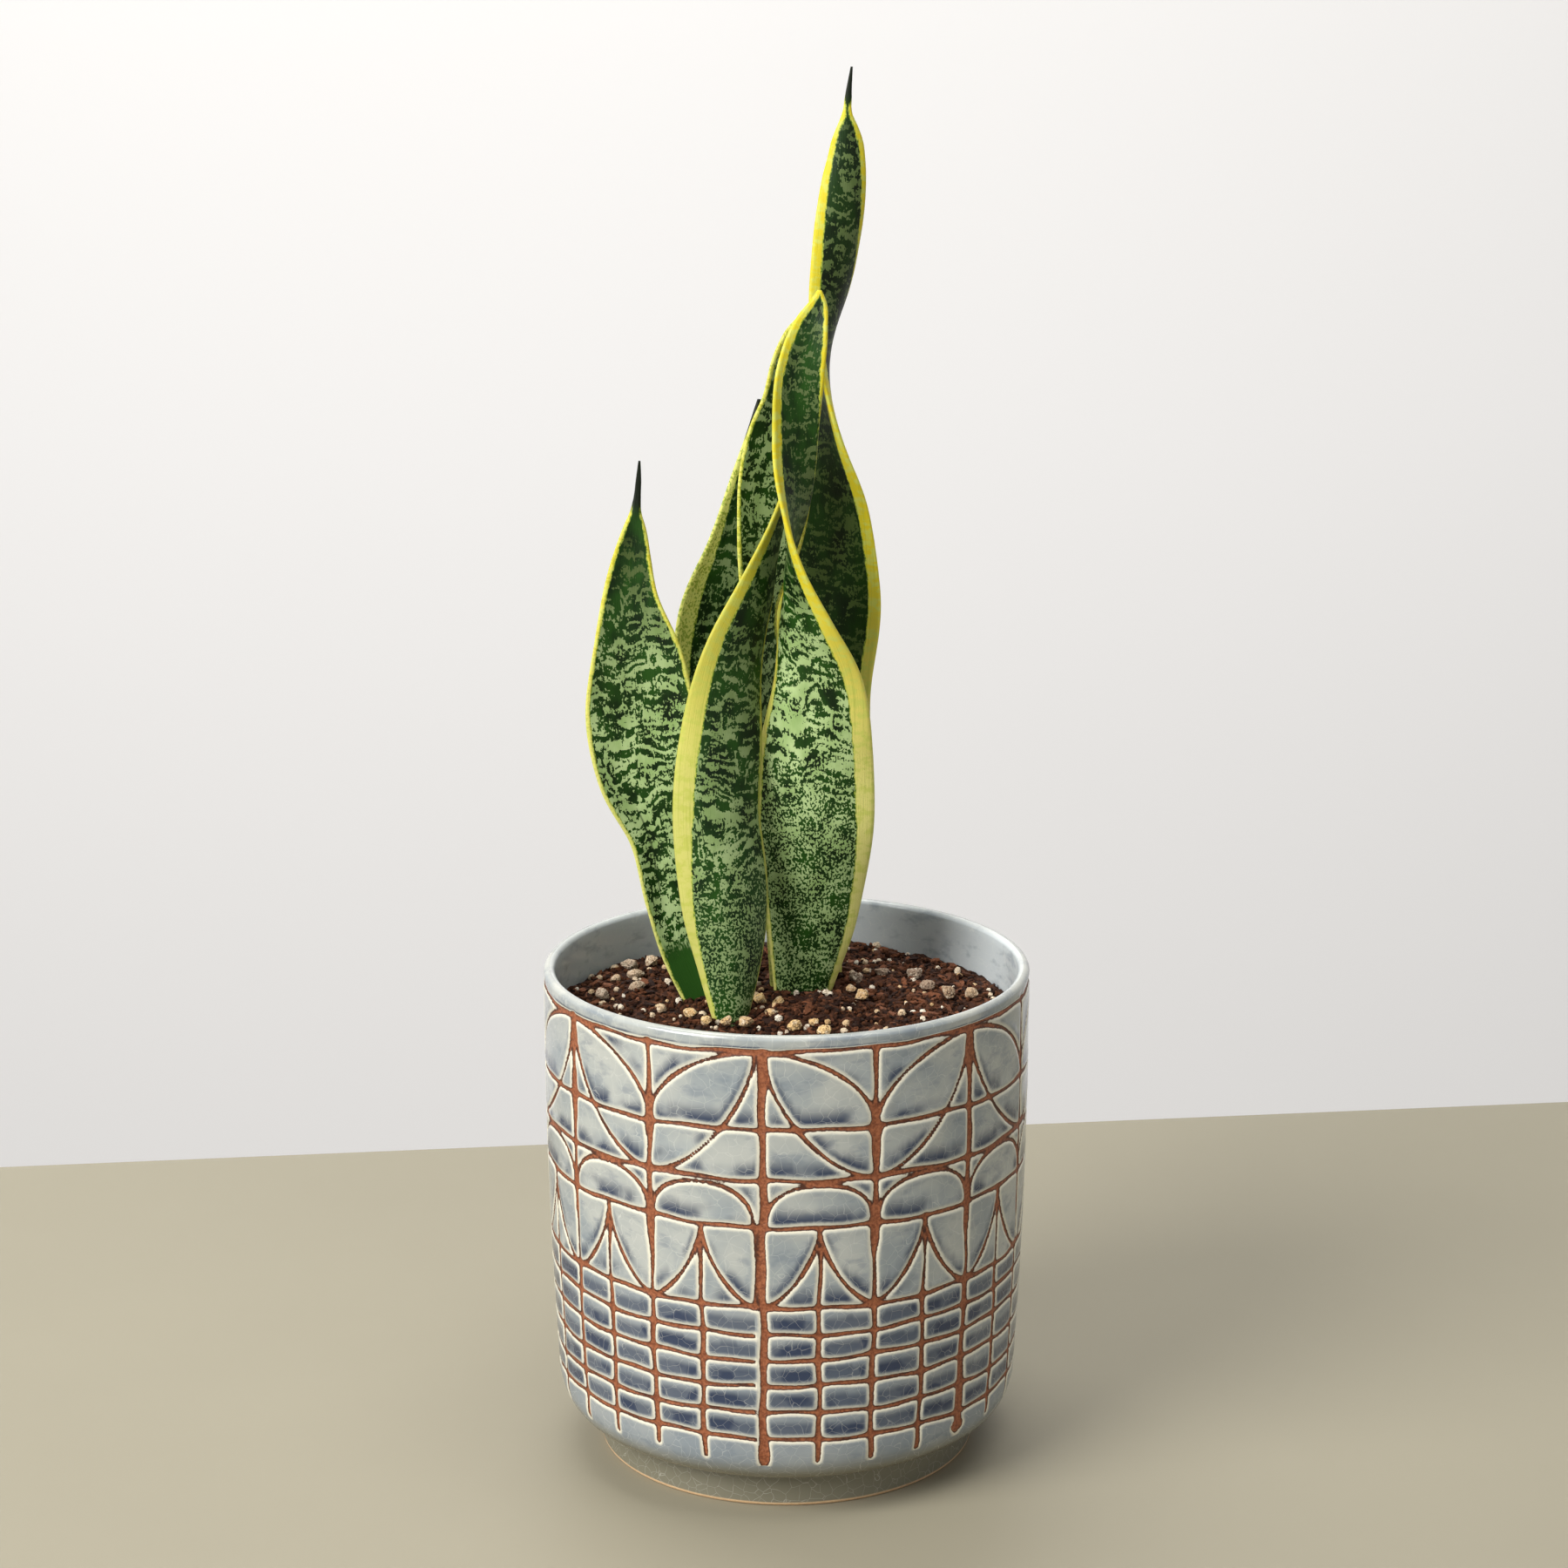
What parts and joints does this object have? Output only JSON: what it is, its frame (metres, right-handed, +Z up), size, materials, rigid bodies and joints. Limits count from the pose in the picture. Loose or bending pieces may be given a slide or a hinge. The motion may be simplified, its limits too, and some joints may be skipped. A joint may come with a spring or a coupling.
{
  "type": "potted snake plant",
  "caption": "Snake plant with twisted upright gold-edged leaves, growing in bark soil in a round glazed stoneware pot with an inlaid line pattern.",
  "frame": {"origin": "middle of the underside of the pot's foot, on the surface it stands on", "axes": "+Z up along the pot's axis; -Y is the front, the side the leaves are arranged to be seen from; +X to the right"},
  "size_m": [0.178, 0.178, 0.504],
  "materials": {
    "glazed_stoneware": "glossy blue-grey glaze with raw terracotta lines",
    "potting_mix": "rough dark bark mix",
    "leaf": "waxy, green bands with yellow margins",
    "rhizome": "matt, fleshy",
    "pumice": "rough, porous"
  },
  "bodies": {
    "root": {"pot": "glazed_stoneware", "soil": "potting_mix", "rhizome": "rhizome", "leaf_front_right": "leaf", "leaf_front_left": "leaf", "leaf_far_left": "leaf", "leaf_back_left": "leaf", "leaf_centre_back": "leaf", "leaf_tall_back": "leaf", "pumice_01": "pumice", "pumice_02": "pumice", "pumice_03": "pumice", "pumice_04": "pumice", "pumice_05": "pumice", "pumice_06": "pumice", "pumice_07": "pumice", "pumice_08": "pumice", "pumice_09": "pumice", "pumice_10": "pumice", "pumice_11": "pumice", "pumice_12": "pumice", "pumice_13": "pumice", "pumice_14": "pumice", "pumice_15": "pumice", "pumice_16": "pumice", "pumice_17": "pumice", "pumice_18": "pumice", "pumice_19": "pumice", "pumice_20": "pumice", "pumice_21": "pumice", "pumice_22": "pumice", "pumice_23": "pumice", "pumice_24": "pumice", "pumice_25": "pumice", "pumice_26": "pumice"}
  },
  "joints": []
}
